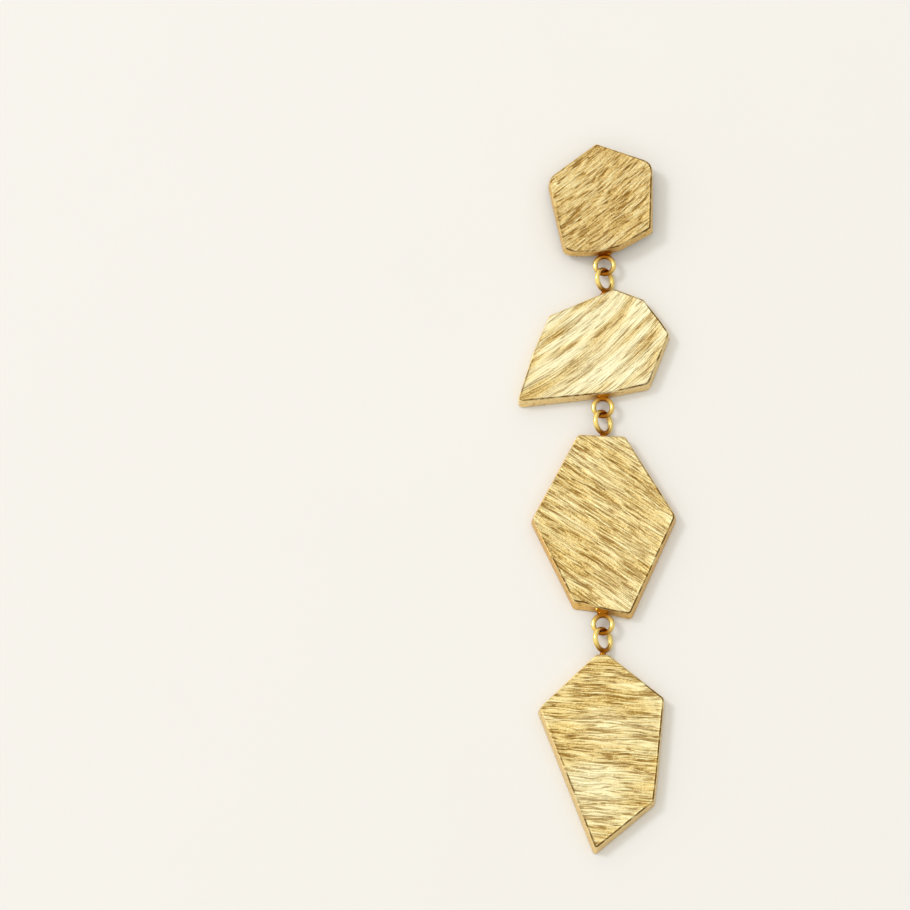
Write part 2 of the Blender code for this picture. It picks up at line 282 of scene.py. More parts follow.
class PlateSettings(bpy.types.PropertyGroup):
    # Painted highlight: the pale patches and the palest plates tend to this colour.
    pale_highlight_colour: colour_setting(
        "Pale Highlight Gold", "Colour that the palest plates' ridges and faces tend to", (1.0, 0.96, 0.68)
    )
    # Painted shade on the walls beside the solder.
    joint_shade_colour: colour_setting(
        "Joint Shade Gold", "Colour of the walls beside the solder", (0.48, 0.22, 0.03)
    )
    # Painted shade: the dark line along a face's edge, a dark reflection painted on the rim.
    rim_shade_colour: colour_setting(
        "Edge Shade Brown", "Colour of the darkened line along a face's edge", (0.14, 0.07, 0.012)
    )
    voxel: length_setting("Mesh Step", "Size of the faces that carry the brushed relief", 0.09 * MM)
    stroke_length: length_setting("Stroke Length", "Length of a brush stroke", 3.4 * MM)
    stroke_width: length_setting("Stroke Width", "Width of a brush stroke", 0.62 * MM)
    depth: length_setting("Stroke Depth", "From the ridges to the valleys of the front", 0.15 * MM)
    wall_depth: length_setting("Wall Depth", "Depth of the pits and nicks in the walls", 0.09 * MM)
    swell: length_setting("Swell", "Height of the broad hammered swells of the front", 0.14 * MM)
    grain: length_setting("Grain", "Size of the fine grain inside the strokes", 0.17 * MM)
    # The ridges' paler gold is a painted highlight; their polish itself is in the roughness.
    ridge_highlight_colour: colour_setting("Ridge Highlight Gold", "Colour of the polished ridges", (1.0, 0.90, 0.52))
    middle_colour: colour_setting("Face Gold", "Colour of the brushed face", (0.84, 0.64, 0.26))
    # Painted shade: the valleys, cuts and wall pits are darkened towards this colour.
    valley_shade_colour: colour_setting("Valley Shade Gold", "Colour of the darkened valleys", (0.34, 0.185, 0.032))


class LinkSettings(bpy.types.PropertyGroup):
    wire_radius: length_setting("Wire Radius", "Radius of the rings' wire", 0.33 * MM)
    front_radius: length_setting("Front Ring", "Radius of the flat rings' middle line", 1.205 * MM)
    turned_radius: length_setting("Turned Ring", "Radius of the turned rings' middle line", 1.43 * MM)
    # Painted shade on the wire at the solder and where two rings link.
    joint_shade_colour: colour_setting(
        "Joint Shade Gold", "Colour of the wire at the solder and where two rings link", (0.33, 0.115, 0.006)
    )
    solder_width: length_setting("Solder Width", "Half the width of the solder at the wall", 1.05 * MM)
    step: length_setting("Mesh Step", "Size of the faces of the soldered rings", 0.06 * MM)
    colour: colour_setting("Wire Gold", "Colour of the polished wire", (1.0, 0.78, 0.26))


class ClipSettings(bpy.types.PropertyGroup):
    thickness: length_setting("Leaf Thickness", "Thickness of the clip's leaf", 0.42 * MM)
    easing: length_setting("Easing", "Rounding of the clip's edges", 0.05 * MM)


class StageSettings(bpy.types.PropertyGroup):
    floor_colour: colour_setting("Floor", "Colour of the pale floor", (0.78, 0.773, 0.757))
    key_power: bpy.props.FloatProperty(
        name="Key Light", description="Power of the large soft light", default=6.6, unit="POWER"
    )
    sky: bpy.props.FloatProperty(
        name="Sky", description="Strength of the light from all round", default=1.09
    )


# Helpers for node trees


class Value:
    """What a socket of a node tree gives, which the usual signs calculate with."""

    def __init__(self, tree, socket):
        self.tree = tree
        self.socket = socket

    def __add__(self, other):
        return calculate(self.tree, "ADD", self, other)

    def __sub__(self, other):
        return calculate(self.tree, "SUBTRACT", self, other)

    def __rsub__(self, other):
        return calculate(self.tree, "SUBTRACT", other, self)

    def __mul__(self, other):
        return calculate(self.tree, "MULTIPLY", self, other)

    def __truediv__(self, other):
        return calculate(self.tree, "DIVIDE", self, other)

    def __rtruediv__(self, other):
        return calculate(self.tree, "DIVIDE", other, self)

    def line(self, factor, start):
        """The value times a factor, from a start."""
        return self * factor + start

    def ramp(self, span, shares=(0.0, 1.0)):
        """The value moved smoothly from one range to another, and kept inside it."""
        sockets = {"Value": self, "From Min": span[0], "From Max": span[1]}
        sockets.update({"To Min": shares[0], "To Max": shares[1]})
        return new_value(
            self.tree, "ShaderNodeMapRange", sockets, "Result", interpolation_type="SMOOTHSTEP"
        )


def connect(tree, inputs, values):
    """Sets a node's inputs to numbers and the like, or links them to what sockets give."""
    for key, value in values.items():
        if isinstance(value, Value):
            tree.links.new(value.socket, inputs[key])
        else:
            inputs[key].default_value = value


def add_node(tree, kind, inputs=None, **settings):
    made = tree.nodes.new(kind)
    for name, value in settings.items():
        setattr(made, name, value)
    connect(tree, made.inputs, inputs or {})
    return made


def new_value(tree, kind, inputs=None, output=0, **settings):
    """What one output of a new node gives."""
    return Value(tree, add_node(tree, kind, inputs, **settings).outputs[output])


def values_by_name(tree, outputs):
    return {socket.name: Value(tree, socket) for socket in outputs if socket.name}


def calculate(tree, operation, *values, clamp=False):
    sockets = dict(enumerate(values))
    return new_value(tree, "ShaderNodeMath", sockets, operation=operation, use_clamp=clamp)


def larger(first, second):
    return calculate(first.tree, "MAXIMUM", first, second)


def vector_math(operation, vector, other=None, output=0):
    sockets = {0: vector} if other is None else {0: vector, 1: other}
    return new_value(vector.tree, "ShaderNodeVectorMath", sockets, output, operation=operation)


def scaled(vector, scale):
    sockets = {0: vector, "Scale": scale}
    return new_value(vector.tree, "ShaderNodeVectorMath", sockets, operation="SCALE")


def combine(tree, x, y, z):
    return new_value(tree, "ShaderNodeCombineXYZ", {0: x, 1: y, 2: z})


def part(vector, index):
    """One of a vector's three parts."""
    return new_value(vector.tree, "ShaderNodeSeparateXYZ", {0: vector}, index)


def noise(vector, detail=2.0, roughness=0.5, scale=1.0):
    sockets = {"Vector": vector, "Scale": scale, "Detail": detail, "Roughness": roughness}
    return new_value(vector.tree, "ShaderNodeTexNoise", sockets, noise_dimensions="3D")


def mix_values(factor, first, second):
    """A number between two others."""
    sockets = {0: factor, 2: first, 3: second}
    return new_value(factor.tree, "ShaderNodeMix", sockets, data_type="FLOAT")


def mix_colours(factor, first, second):
    """A colour between two others, each of four numbers or from a socket."""
    sockets = {0: factor, 6: first, 7: second}
    return new_value(factor.tree, "ShaderNodeMix", sockets, 2, data_type="RGBA")


def object_place(tree):
    return new_value(tree, "ShaderNodeTexCoord", output="Object")


def new_tree(name, kind, inputs, outputs):
    """A node group with sockets by kind. Returns it, what its inputs give and its output's sockets."""
    tree = bpy.data.node_groups.new(name, kind)
    for in_out, kinds in (("INPUT", inputs), ("OUTPUT", outputs)):
        for socket_kind, names in kinds.items():
            for socket_name in names:
                tree.interface.new_socket(
                    name=socket_name, in_out=in_out, socket_type=f"NodeSocket{socket_kind}"
                )
    entry = tree.nodes.new("NodeGroupInput")
    end = tree.nodes.new("NodeGroupOutput")
    return tree, values_by_name(tree, entry.outputs), end.inputs


def shared_group(name, make):
    return bpy.data.node_groups.get(name) or make()


def use_group(tree, group, inputs):
    """What the outputs of a node group give, by their names."""
    return values_by_name(tree, add_node(tree, "ShaderNodeGroup", inputs, node_tree=group).outputs)


def end_geometry(tree, end, shape, material):
    """Ends Geometry Nodes with real geometry in its material."""
    real = new_value(tree, "GeometryNodeRealizeInstances", {"Geometry": shape})
    painted = new_value(tree, "GeometryNodeSetMaterial", {"Geometry": real, "Material": material})
    connect(tree, end, {"Geometry": painted})
    return tree


def add_geometry_nodes(obj, tree, values):
    """Adds Geometry Nodes to an object, and sets their inputs by the sockets' identifiers."""
    modifier = obj.modifiers.new(tree.name, "NODES")
    modifier.node_group = tree
    identifiers = {
        item.name: item.identifier
        for item in tree.interface.items_tree
        if item.item_type == "SOCKET" and item.in_out == "INPUT"
    }
    for name, value in values.items():
        modifier[identifiers[name]] = value


# Helpers for meshes


def place_object(name, data):
    made = bpy.data.objects.new(name, data)
    bpy.context.scene.collection.objects.link(made)
    return made


def mesh_object(name, mesh):
    """An object with a finished bmesh."""
    data = bpy.data.meshes.new(name)
    mesh.to_mesh(data)
    mesh.free()
    return place_object(name, data)


def as_plain_mesh(obj):
    """Turns what an object's modifiers or curve give into a mesh, and takes them off."""
    bpy.context.view_layer.update()
    evaluated = obj.evaluated_get(bpy.context.evaluated_depsgraph_get())
    data = bpy.data.meshes.new_from_object(evaluated)
    data.transform(obj.matrix_world)
    name = obj.name
    old = obj.data
    bpy.data.objects.remove(obj, do_unlink=True)
    if old.users == 0 and isinstance(old, bpy.types.Mesh):
        bpy.data.meshes.remove(old)
    data.name = name
    return place_object(name, data)


def add_remesh(obj, size):
    """Makes an object one skin of even faces."""
    remesh = obj.modifiers.new("one skin", "REMESH")
    remesh.mode = "VOXEL"
    remesh.voxel_size = size


def add_loop(mesh, centre, first, second, sides):
    """A loop of vertices on an ellipse, from its centre and its two half axes."""
    loop = []
    for side in range(sides):
        turn = FULL_TURN * side / sides
        loop.append(mesh.verts.new(centre + first * math.cos(turn) + second * math.sin(turn)))
    return loop


def join_loops(mesh, loops):
    """Faces from loop to loop and across the first and last, all turned outward."""
    for lower, upper in zip(loops, loops[1:]):
        for index in range(len(lower)):
            mesh.faces.new((lower[index - 1], lower[index], upper[index], upper[index - 1]))
    mesh.faces.new(reversed(loops[0]))
    mesh.faces.new(loops[-1])
    bmesh.ops.recalc_face_normals(mesh, faces=mesh.faces)


def finish_piece(obj, node, material):
    """Gives a piece its material, and says which solid and slot it stands for."""
    obj.data.materials.clear()
    obj.data.materials.append(material)
    obj.data.shade_smooth()
    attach(obj, BODY)
    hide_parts(node)


def mesh_points(data):
    points = np.zeros(len(data.vertices) * 3, np.float32)
    data.vertices.foreach_get("co", points)
    return points.reshape(-1, 3).astype(float)


def store_values(data, name, values):
    stored = data.attributes.new(name, "FLOAT", "POINT")
    stored.data.foreach_set("value", values.astype(np.float32))


# Measures of the solids


def node_points(node):
    return mesh_points(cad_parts[node].data)


def node_front(node):
    """The height of a plate's flat front, the highest of the levels that most of its points share."""
    heights = np.round(node_points(node)[:, 2] / LEVEL_TOLERANCE) * LEVEL_TOLERANCE
    levels, counts = np.unique(heights, return_counts=True)
    fullest = sorted(zip(counts, levels), reverse=True)[:FULLEST_LEVELS]
    return max(level for count, level in fullest)


def face_place(node, across, along):
    """A place on a plate's front, by its shares of the plate's box."""
    low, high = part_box(node)
    x = low.x + (high.x - low.x) * across
    y = low.y + (high.y - low.y) * along
    return (x, y, node_front(node))


def outline_at(node, height):
    """A plate's outline at one level of its solid, anticlockwise, as pairs of x and y."""
    points = node_points(node)
    level = points[np.abs(points[:, 2] - height) < LEVEL_TOLERANCE][:, :2]
    level = np.unique(np.round(level / LEVEL_TOLERANCE) * LEVEL_TOLERANCE, axis=0)
    middle = (level.min(0) + level.max(0)) / 2
    turn = np.arctan2(level[:, 1] - middle[1], level[:, 0] - middle[0])
    return level[np.argsort(turn)]


def outline_edges(outline):
    """The ends of an outline's edges, as two arrays."""
    closed = np.vstack((outline, outline[:1]))
    return closed[:-1], closed[1:]


def evenly_spaced(outline):
    """The same outline with a fixed number of points, so that levels can be joined up."""
    middle = (outline.min(0) + outline.max(0)) / 2
    starts, ends = outline_edges(outline)
    a = starts - middle
    b = ends - middle
    result = []
    for turn in np.linspace(-math.pi, math.pi, OUTLINE_COUNT, endpoint=False):
        ray = np.array((math.cos(turn), math.sin(turn)))
        side = np.array((-ray[1], ray[0]))
        a_side = a @ side
        b_side = b @ side
        crossing = (a_side * b_side <= 0) & (a_side != b_side)
        share = a_side / np.where(crossing, a_side - b_side, 1.0)
        reach = ((a + share[:, None] * (b - a)) @ ray) * crossing
        result.append(middle + ray * reach.max())
    return np.array(result)


def distance_to_outline(points, outline):
    """How far each point lies from an outline, seen from above."""
    best = np.full(len(points), np.inf)
    for a, b in zip(*outline_edges(outline)):
        edge = b - a
        share = np.clip(((points - a) @ edge) / (edge @ edge), 0, 1)
        gap = points - a - share[:, None] * edge
        best = np.minimum(best, np.einsum("ij,ij->i", gap, gap))
    return np.sqrt(best)


def wall_along(node, across, height, upper):
    """Where the plate's wall crosses a line along the chain, at the place across it."""
    front = node_front(node)
    back = front - PLATE_THICKNESS
    found = []
    for level in (back + BACK_RIM, front - FRONT_RIM):
        hits = []
        for a, b in zip(*outline_edges(outline_at(node, level))):
            if (a[0] - across) * (b[0] - across) <= 0 and a[0] != b[0]:
                hits.append(a[1] + (b[1] - a[1]) * (across - a[0]) / (b[0] - a[0]))
        found.append(max(hits) if upper else min(hits))
    return found[0] + (found[1] - found[0]) * (height - back) / PLATE_THICKNESS


def ring_end(node, upper):
    """The outermost point of a plate's upper or lower ring, from the solid."""
    points = node_points(node)
    edge = points[:, 1].max() if upper else points[:, 1].min()
    found = points[np.abs(points[:, 1] - edge) < LEVEL_TOLERANCE]
    middle = (found.min(0) + found.max(0)) / 2
    return Vector((middle[0], edge, middle[2]))


def joint_places():
    """Where rings are soldered to walls and where they link, each with how far its painted shade
    reaches.
    """
    settings = bpy.context.scene.earring_links
    past = WORN_RADIUS + settings.wire_radius + SEAT_DEPTH
    places = []
    for upper_node, lower_node in zip(CHAIN, CHAIN[1:]):
        front_end = ring_end(upper_node, False)
        turned_end = ring_end(lower_node, True)
        places.append((front_end + Vector((0, 2 * settings.front_radius + past, 0)), SEAT_REACH))
        places.append((turned_end - Vector((0, 2 * settings.turned_radius + past, 0)), SEAT_REACH))
        places.append(((front_end + turned_end) / 2, LINK_REACH))
    return places


def store_joint_shade(obj):
    """Stores how near each point is to a solder seat or to where two rings link, for painted shade
    there.
    """
    points = mesh_points(obj.data)
    nearness = np.zeros(len(points))
    for place, reach in joint_places():
        away = np.linalg.norm(points - np.array(place), axis=1)
        nearness = np.maximum(nearness, np.clip(JOINT_CORE - away / reach, 0, 1))
    store_values(obj.data, "joint", nearness)


def store_edge_distance(plate, node):
    """Stores how far each of a plate's points lies from the edge of its front face."""
    points = mesh_points(plate.data)
    front = node_front(node)
    across = distance_to_outline(points[:, :2], outline_at(node, front))
    store_values(plate.data, "edge", np.hypot(across, points[:, 2] - front))


def plate_body(node):
    """A closed loft through a plate's levels, from back rim to front rim."""
    front = node_front(node)
    back = front - PLATE_THICKNESS
    wall_foot = evenly_spaced(outline_at(node, back + BACK_RIM))
    wall_top = evenly_spaced(outline_at(node, front - FRONT_RIM))
    face = evenly_spaced(outline_at(node, front))
    middle = (wall_foot.min(0) + wall_foot.max(0)) / 2
    reach = np.linalg.norm(wall_foot - middle, axis=1, keepdims=True)
    foot = middle + (wall_foot - middle) * (1 - BACK_RIM / reach)
    mesh = bmesh.new()
    loops = []
    for outline, height in (
        (foot, back),
        (wall_foot, back + BACK_RIM),
        (wall_top, front - FRONT_RIM),
        (face, front),
    ):
        loops.append([mesh.verts.new((x, y, height)) for x, y in outline])
    join_loops(mesh, loops)
    return mesh_object(f"{node}_body", mesh)


# The brushed relief

STROKE_SOCKETS = (
    *("Stroke Angle", "Stroke Length", "Stroke Width"),
    *("Wander", "Bow", "Bow Middle", "Furrows", "Seed"),
)


def layer(strokes, name):
    """One of the layers of noise, drawn out along the strokes."""
    along, across, shift, detail = LAYERS[name]
    place = combine(
        strokes["seed"].tree,
        strokes["along"] * along,
        strokes["across"] * across,
        strokes["seed"] + shift,
    )
    return noise(place, detail)


def thin_lines(field, width):
    """1 along the lines where a noise crosses its middle, falling to 0 at a width from them."""
    return calculate(field.tree, "ABSOLUTE", field - 0.5).ramp((width, 0.0))


def stroke_pattern(tree, position, sizes):
    """The brush strokes: the height of the face, the thin cuts in it and the strokes' own directions.

    The mesh and the finish share it, so the dark lines that the finish paints as shade lie in the mesh's
    valleys.
    """
    turn = {"Vector": position, "Angle": sizes["Stroke Angle"] * -1.0}
    turned = new_value(tree, "ShaderNodeVectorRotate", turn, rotation_type="Z_AXIS")
    strokes = {
        "along": part(turned, 0) / sizes["Stroke Length"],
        "across": part(turned, 1) / sizes["Stroke Width"],
        "seed": sizes["Seed"],
    }
    drift = (layer(strokes, "drift") - 0.5) * DRIFT
    shake = (layer(strokes, "shake") - 0.5) * SHAKE
    past = strokes["along"] - sizes["Bow Middle"]
    bend = (drift + shake) * sizes["Wander"] - past * past * sizes["Bow"]
    strokes["across"] = strokes["across"] + bend

    fibres = layer(strokes, "fibres").ramp(NOISE_SPAN)
    threads = layer(strokes, "threads").ramp(NOISE_SPAN)
    creases = thin_lines(layer(strokes, "creases"), CREASE_WIDTH)
    creases = creases * layer(strokes, "crease breaks").ramp(CREASE_BREAKS)
    furrows = thin_lines(layer(strokes, "furrows"), FURROW_WIDTH)
    furrows = furrows * layer(strokes, "furrow breaks").ramp(FURROW_BREAKS)
    cuts = larger(creases, furrows * sizes["Furrows"])
    height = fibres * FIBRE_SHARE + threads * (1 - FIBRE_SHARE) - cuts * CUT_DEPTH
    broad = layer(strokes, "broad").ramp(NOISE_SPAN)
    return {"height": height, "cuts": cuts, "broad": broad, "strokes": strokes}


def relief_tree():
    """Geometry Nodes that press the strokes into a plate's front and back, and pits into its walls."""
    tree, sizes, end = new_tree(
        "brushed relief",
        "GeometryNodeTree",
        {
            "Geometry": ["Geometry"],
            "Float": [*STROKE_SOCKETS, "Depth", "Wall Depth", "Pitting", "Swell"],
            "Material": ["Material"],
        },
        {"Geometry": ["Geometry"]},
    )
    position = new_value(tree, "GeometryNodeInputPosition")
    normal = new_value(tree, "GeometryNodeInputNormal")
    edge = new_value(tree, "GeometryNodeInputNamedAttribute", {"Name": "edge"}, data_type="FLOAT")
    pattern = stroke_pattern(tree, position, sizes)
    front = part(normal, 2).ramp(FRONT_FACING)
    back = part(normal, 2).ramp(BACK_FACING)
    wall = calculate(tree, "SUBTRACT", 1.0, front + back, clamp=True)
    kept = edge.ramp((0.0, EDGE_FADE))
    pit_noise = noise(vector_math("DIVIDE", position, WALL_PITS), 1.0)
    pits = pit_noise.ramp((sizes["Pitting"] - PIT_SLOPE, sizes["Pitting"]))

    sink = (pattern["height"] - FACE_LEVEL) * sizes["Depth"] * kept
    swell = (pattern["broad"] - 0.5) * sizes["Swell"]
    hollow = (1.0 - pattern["height"]) * sizes["Wall Depth"] * back
    upward = combine(tree, 0.0, 0.0, (sink + swell) * front + hollow)
    dent = (pits - PIT_LEVEL) * sizes["Wall Depth"] * (wall * kept)
    offset = vector_math("ADD", upward, scaled(normal, dent))
    shape = sizes["Geometry"]
    for name, value in (("wall", wall), ("pits", pits)):
        shape = new_value(
            tree,
            "GeometryNodeStoreNamedAttribute",
            {"Geometry": shape, "Name": name, "Value": value},
            data_type="FLOAT",
            domain="POINT",
        )
    shape = new_value(tree, "GeometryNodeSetPosition", {"Geometry": shape, "Offset": offset})
    return end_geometry(tree, end, shape, sizes["Material"])


# Shader groups and materials


def strokes_group():
    """The strokes as the finish sees them: height with grain, cuts, tone, pale patches of painted
    highlight and an edge line of painted shade.

    On the walls the strokes give way to pits and the same fine grain.
    """
    tree, sizes, end = new_tree(
        "brushed strokes",
        "ShaderNodeTree",
        {
            "Float": [
                *STROKE_SOCKETS,
                *("Grain", "Roughness", "Wall", "Pits", "Edge"),
                *("Patch Reach", "Patch Paleness", "Paleness"),
            ],
            "Vector": ["Middle", "Patch Centre"],
        },
        {"Float": ["Height", "Cuts", "Tone", "Patches", "Line"]},
    )
    position = object_place(tree)
    pattern = stroke_pattern(tree, position, sizes)
    on_face = 1.0 - sizes["Wall"]

    hairs = layer(pattern["strokes"], "hairs")
    specks = noise(scaled(position, 1.0 / sizes["Grain"]), 1.0)
    fine = mix_values(sizes["Roughness"], hairs, specks).ramp(FINE_SPAN)
    # The walls' pits take a low tone and count as cuts, so the finish darkens them as painted shade.
    pitted = sizes["Pits"].line(*WALL_PIT_SHADE)
    form = mix_values(sizes["Wall"], pattern["height"], pitted)
    # The broad swells add to the tone, paler where they rise: a painted highlight.
    tone = form * (1 - GRAIN_TONE) + fine * GRAIN_TONE + pattern["broad"].line(*SWELL_HIGHLIGHT)
    cuts = larger(pattern["cuts"] * on_face, (1.0 - sizes["Pits"]) * sizes["Wall"])

    # The edge line is painted shade, a dark reflection painted on the rim, darkest on the side away from
    # the light.
    breaks = noise(scaled(position, 1 / EDGE_BREAKS), 1.0).ramp(*LINE_BREAKS)
    outward = vector_math("NORMALIZE", vector_math("SUBTRACT", position, sizes["Middle"]))
    facing = vector_math("DOT_PRODUCT", outward, EDGE_SHADED_SIDE, "Value")
    line = sizes["Edge"].ramp((EDGE_LINE, EDGE_LINE / 3)) * breaks
    line = line * facing.ramp(*LINE_SIDES)

    # Pale patches, a painted highlight: round a place on the face and on the broad swells.
    away = vector_math("DISTANCE", position, sizes["Patch Centre"], "Value")
    near = (away / sizes["Patch Reach"]).ramp(PATCH_FADE) * pattern["broad"].line(*PATCH_SWELL)
    patches = larger(near * sizes["Patch Paleness"], pattern["broad"] * sizes["Paleness"])
    height = fine * GRAIN_HEIGHT + form
    found = {"Height": height, "Cuts": cuts, "Tone": tone, "Patches": patches * on_face}
    connect(tree, end, {**found, "Line": line})
    return tree


def wear_group():
    """Faint wear on polished wire: a height for bumps and a streak mask."""
    tree, sizes, end = new_tree(
        "polished wear",
        "ShaderNodeTree",
        {"Float": ["Size", "Seed"]},
        {"Float": ["Height", "Streaks"]},
    )
    place = scaled(object_place(tree), 1.0 / sizes["Size"])
    moved = vector_math("ADD", place, sizes["Seed"])
    streaks = noise(scaled(moved, WEAR_SLOWER)).ramp(NOISE_SPAN)
    connect(tree, end, {"Height": noise(moved, detail=3.0, roughness=0.6), "Streaks": streaks})
    return tree


def relief_light_and_shade_group():
    """Colour from the strokes, with painted light and shade: cuts and valleys darkened as painted shade,
    a gold face, ridges and broad pale patches paler as painted highlight, and painted shade at the
    joints and along the rim.
    """
    tree, sizes, end = new_tree(
        "relief painted light and shade",
        "ShaderNodeTree",
        {
            "Float": ["Tone", "Cuts", "Patches", "Wall", "Joint", "Line"],
            "Color": [
                *("Valley", "Face", "Ridge", "Pale"),
                *("Wall Colour", "Joint Shade Colour", "Rim Shade Colour"),
            ],
        },
        {"Color": ["Color"], "Float": ["Ridges"]},
    )
    # Painted shade in the cuts and valleys, and painted highlight on the ridges and the pale patches.
    unshaded = 1.0 - sizes["Cuts"] * CUT_SHADE
    low = sizes["Tone"].ramp(FACE_TONES) * unshaded
    high = sizes["Tone"].ramp(RIDGE_TONES) * unshaded
    face = mix_colours(low, sizes["Valley"], sizes["Face"])
    face = mix_colours(high, face, sizes["Ridge"])
    face = mix_colours(sizes["Patches"] * low.line(*PALE_HIGHLIGHT), face, sizes["Pale"])
    # The walls darken towards the valleys' colour in their pits: painted shade.
    wall = mix_colours(low, sizes["Valley"], sizes["Wall Colour"])
    # Painted shade on the walls beside the solder.
    wall = mix_colours(sizes["Joint"], wall, sizes["Joint Shade Colour"])
    whole = mix_colours(sizes["Wall"], face, wall)
    # Painted shade along the rim.
    whole = mix_colours(sizes["Line"], whole, sizes["Rim Shade Colour"])
    connect(tree, end, {"Color": whole, "Ridges": high})
    return tree


def opaque(colour, tint=(1.0, 1.0, 1.0)):
    """A colour under a tint, with full alpha."""
    return (*(share * dye for share, dye in zip(colour, tint)), 1.0)


def new_material(name):
    """A material, its node tree and its shader's inputs."""
    material = bpy.data.materials.new(name)
    material.use_nodes = True
    tree = material.node_tree
    return material, tree, tree.nodes["Principled BSDF"].inputs


def attribute(tree, name):
    """A value that the mesh holds."""
    return new_value(tree, "ShaderNodeAttribute", output="Fac", attribute_name=name)


def set_metal(tree, shader, colour, roughness, height, bump):
    """Links a metal's colour and roughness, and a bump of some strength and distance."""
    sockets = {"Strength": bump[0], "Distance": bump[1], "Height": height}
    values = {
        "Metallic": 1.0,
        "Base Color": colour,
        "Roughness": roughness,
        "Normal": new_value(tree, "ShaderNodeBump", sockets),
    }
    connect(tree, shader, values)


def stroke_sizes(node, settings, strokes):
    """One plate's strokes, by the names of the node groups' sockets."""
    angle = math.radians(strokes["angle"])
    length = settings.stroke_length * strokes["length"]
    x, y, front = face_place(node, 0.5, 0.5)
    return {
        "Stroke Angle": angle,
        "Stroke Length": length,
        "Bow": strokes["bow"],
        "Bow Middle": (x * math.cos(angle) + y * math.sin(angle)) / length,
        "Stroke Width": settings.stroke_width * strokes["width"],
        "Wander": strokes["wander"],
        "Furrows": strokes["furrows"],
        "Seed": strokes["seed"],
    }


def plate_metal(node, settings, strokes):
    material, tree, shader = new_material(f"brushed gold {node.replace('_', ' ')}")
    wall = attribute(tree, "wall")
    brushed = use_group(
        tree,
        shared_group("brushed strokes", strokes_group),
        {
            **stroke_sizes(node, settings, strokes),
            "Grain": settings.grain,
            "Roughness": strokes["rough"],
            "Wall": wall,
            "Pits": attribute(tree, "pits"),
            "Edge": attribute(tree, "edge"),
            "Middle": face_place(node, 0.5, 0.5),
            "Patch Centre": face_place(node, *strokes["patch"]),
            "Patch Reach": strokes["patch_reach"],
            "Patch Paleness": strokes["patch_pale"],
            "Paleness": strokes["pale"],
        },
    )
    coloured = use_group(
        tree,
        shared_group("relief painted light and shade", relief_light_and_shade_group),
        {
            **{name: brushed[name] for name in ("Tone", "Cuts", "Patches", "Line")},
            "Wall": wall,
            "Joint": attribute(tree, "joint"),
            # Each plate's tone dims its whole gold: painted shade for how much less light that plate
            # reflects.
            "Valley": opaque(settings.valley_shade_colour, strokes["tone"]),
            "Face": opaque(settings.middle_colour, strokes["tone"]),
            "Ridge": opaque(settings.ridge_highlight_colour, strokes["tone"]),
            "Pale": opaque(settings.pale_highlight_colour, strokes["tone"]),
            "Wall Colour": opaque(strokes["wall"]),
            "Joint Shade Colour": opaque(settings.joint_shade_colour),
            "Rim Shade Colour": opaque(settings.rim_shade_colour),
        },
    )
    rough = coloured["Ridges"].ramp((0.0, 1.0), PLATE_ROUGHNESS)
    set_metal(tree, shader, coloured["Color"], rough, brushed["Height"], PLATE_BUMP)
    return material


def wire_metal(settings):
    """The polished gold that the links and the clip share."""
    name = "polished gold wire"
    if name in bpy.data.materials:
        return bpy.data.materials[name]
    material, tree, shader = new_material(name)
    sizes = {"Size": WEAR_SIZE, "Seed": 1.0}
    worn = use_group(tree, shared_group("polished wear", wear_group), sizes)
    tarnished = opaque(settings.colour, WIRE_TARNISH)
    colour = mix_colours(worn["Streaks"], tarnished, opaque(settings.colour))
    # Painted shade on the wire at the solder and where two rings link.
    colour = mix_colours(attribute(tree, "joint"), colour, opaque(settings.joint_shade_colour))
    rough = worn["Streaks"].ramp((0.0, 1.0), WIRE_ROUGHNESS)
    set_metal(tree, shader, colour, rough, worn["Height"], WIRE_BUMP)
    return material


# Pieces


class EARRING_OT_plates(bpy.types.Operator):
    """Build the four brushed plates over their solids"""

    bl_idname = "earring.plates"
    bl_label = "Build Plates"

    def execute(self, context):
        settings = context.scene.earring_plates
        relief = shared_group("brushed relief", relief_tree)
        for node, strokes in PLATE_STROKES.items():
            material = plate_metal(node, settings, strokes)
            body = plate_body(node)
            add_remesh(body, settings.voxel)
            plate = as_plain_mesh(body)
            plate.name = f"{node}_brushed"
            store_edge_distance(plate, node)
            store_joint_shade(plate)
            sizes = {
                **stroke_sizes(node, settings, strokes),
                "Depth": settings.depth * strokes["depth"],
                "Wall Depth": settings.wall_depth,
                "Pitting": strokes["pitting"],
                "Swell": settings.swell * strokes["swell"],
                "Material": material,
            }
            add_geometry_nodes(plate, relief, sizes)
            finish_piece(as_plain_mesh(plate), node, material)
        return {"FINISHED"}


def ring_tree():
    """Geometry Nodes for one round wire ring in the XY plane, worn thinner at one side."""
    tree, sizes, end = new_tree(
        "wire ring",
        "GeometryNodeTree",
        {
            "Geometry": ["Geometry"],
            "Float": ["Radius", "Wire Radius", "Worn Radius", "Worn Side"],
            "Material": ["Material"],
        },
        {"Geometry": ["Geometry"]},
    )
    circle = "GeometryNodeCurvePrimitiveCircle"
    path = new_value(tree, circle, {"Resolution": RING_STEPS, "Radius": sizes["Radius"]})
    section = new_value(tree, circle, {"Resolution": WIRE_SIDES, "Radius": sizes["Wire Radius"]})
    along = part(new_value(tree, "GeometryNodeInputPosition"), 1)
    share = along / sizes["Radius"] * sizes["Worn Side"]
    worn = sizes["Worn Radius"] / sizes["Wire Radius"]
    scale = mix_values(share.ramp(WORN_SPAN), 1.0, worn)
    curves = {"Curve": path, "Profile Curve": section, "Scale": scale}
    wire = new_value(tree, "GeometryNodeCurveToMesh", curves)
    return end_geometry(tree, end, wire, sizes["Material"])


